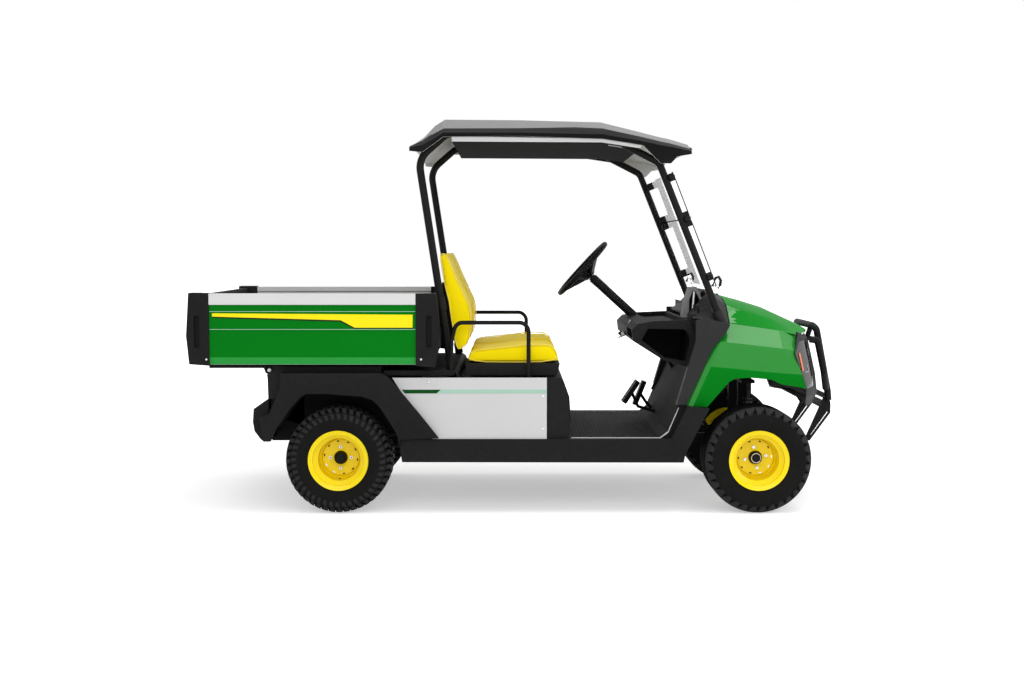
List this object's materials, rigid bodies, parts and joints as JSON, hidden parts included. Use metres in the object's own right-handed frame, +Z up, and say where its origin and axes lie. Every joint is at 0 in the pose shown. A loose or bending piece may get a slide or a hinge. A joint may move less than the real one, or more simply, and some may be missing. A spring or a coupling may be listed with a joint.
{
  "type": "utility vehicle",
  "caption": "Open utility vehicle with a roll cage and roof, side-by-side seats, a folding windshield and a tipping load bed with a drop tailgate.",
  "frame": {"origin": "on the ground under the middle of the bounding box, between the left and right sides", "axes": "+X points forward along the vehicle, +Y to the vehicle's left and +Z up"},
  "size_m": [3.126, 1.28, 1.914],
  "materials": {
    "tyre": "matte",
    "rim": "semi-gloss",
    "frame": "satin",
    "running_gear": "matte",
    "moulding": "textured",
    "pale_moulding": "satin",
    "green_body": "gloss",
    "green_bed": "gloss",
    "rail": "satin",
    "cage": "semi-gloss",
    "vinyl": "satin",
    "glass": "clear",
    "lamp": "gloss",
    "mat": "matte",
    "power": "matte"
  },
  "bodies": {
    "chassis": {"frame": "frame", "rear_axle": "running_gear", "suspension_arms": "running_gear", "shocks": "running_gear", "rear_fenders": "moulding", "rear_fascia": "moulding", "lamps": "lamp", "sills": "moulding", "floor_pan": "mat", "side_panels": "pale_moulding", "seat_box": "moulding", "power_unit": "power", "kick_panel": "moulding", "platform": "moulding", "front_fenders": "green_body", "cowl": "moulding", "dash": "moulding", "dash_fittings": "pale_moulding", "steering_column": "frame", "pedals": "frame", "front_fascia": "moulding", "brush_guard": "cage", "rear_posts": "cage", "roof_frame": "cage", "front_posts": "cage", "backrest_bars": "cage", "roof": "moulding", "roof_liner": "pale_moulding", "windshield": "glass", "windshield_clamps": "mat", "hip_rails": "cage", "backrests": "vinyl"},
    "cargo_bed": {"bed_floor": "frame", "bed_sides": "green_bed", "bed_rails": "rail", "bed_corner_posts": "moulding", "bed_front_wall": "moulding"},
    "gate": {"tailgate": "moulding"},
    "bonnet": {"hood": "green_body"},
    "seat_base": {"seat_deck": "moulding", "cushions": "vinyl"},
    "helm": {"steering_wheel": "moulding"},
    "rack": {"tie_rods": "running_gear"},
    "upright_right": {"knuckle_right": "running_gear"},
    "upright_left": {"knuckle_left": "running_gear"},
    "wheel_front_right": {"tyre_front_right": "tyre", "rim_front_right": "rim"},
    "wheel_front_left": {"tyre_front_left": "tyre", "rim_front_left": "rim"},
    "wheel_rear_right": {"tyre_rear_right": "tyre", "rim_rear_right": "rim"},
    "wheel_rear_left": {"tyre_rear_left": "tyre", "rim_rear_left": "rim"}
  },
  "joints": [
    {"name": "wheel_front_right_spin", "type": "hinge", "parent": "upright_right", "child": "wheel_front_right", "pos_m": [1.14, -0.483, 0.255], "axis": [0, 1, 0], "continuous": true},
    {"name": "wheel_front_left_spin", "type": "hinge", "parent": "upright_left", "child": "wheel_front_left", "pos_m": [1.14, 0.483, 0.255], "axis": [0, 1, 0], "continuous": true},
    {"name": "wheel_rear_right_spin", "type": "hinge", "parent": "chassis", "child": "wheel_rear_right", "pos_m": [-0.86, -0.483, 0.255], "axis": [0, 1, 0], "continuous": true},
    {"name": "wheel_rear_left_spin", "type": "hinge", "parent": "chassis", "child": "wheel_rear_left", "pos_m": [-0.86, 0.483, 0.255], "axis": [0, 1, 0], "continuous": true},
    {"name": "steering", "type": "hinge", "parent": "chassis", "child": "helm", "pos_m": [0.341, 0.25, 1.155], "axis": [-0.7385, 0, 0.6743], "range_deg": [-450, 450]},
    {"name": "knuckle_right_turn", "type": "hinge", "parent": "chassis", "child": "upright_right", "pos_m": [1.14, -0.36, 0.255], "axis": [0, 0, 1], "range_deg": [-29, 29]},
    {"name": "knuckle_left_turn", "type": "hinge", "parent": "chassis", "child": "upright_left", "pos_m": [1.14, 0.36, 0.255], "axis": [0, 0, 1], "range_deg": [-29, 29]},
    {"name": "rack_slide", "type": "slide", "parent": "chassis", "child": "rack", "axis": [0, 1, 0], "range_m": [-0.053, 0.053]},
    {"name": "bed_tilt", "type": "hinge", "parent": "chassis", "child": "cargo_bed", "pos_m": [-1.187, 0, 0.685], "axis": [0, -1, 0], "range_deg": [0, 45]},
    {"name": "tailgate_drop", "type": "hinge", "parent": "cargo_bed", "child": "gate", "pos_m": [-1.5185, 0, 0.749], "axis": [0, -1, 0], "range_deg": [0, 90]},
    {"name": "hood_lift", "type": "hinge", "parent": "chassis", "child": "bonnet", "pos_m": [1.019, 0, 1.025], "axis": [0, -1, 0], "range_deg": [0, 50]},
    {"name": "seat_tip", "type": "hinge", "parent": "chassis", "child": "seat_base", "pos_m": [0.172, 0, 0.662], "axis": [0, 1, 0], "range_deg": [0, 60]}
  ],
  "couplings": [
    {"joint": "knuckle_right_turn", "follows": "steering", "ratio": 0.06333},
    {"joint": "knuckle_left_turn", "follows": "steering", "ratio": 0.06333},
    {"joint": "rack_slide", "follows": "steering", "m_per_rad": -0.00666}
  ]
}
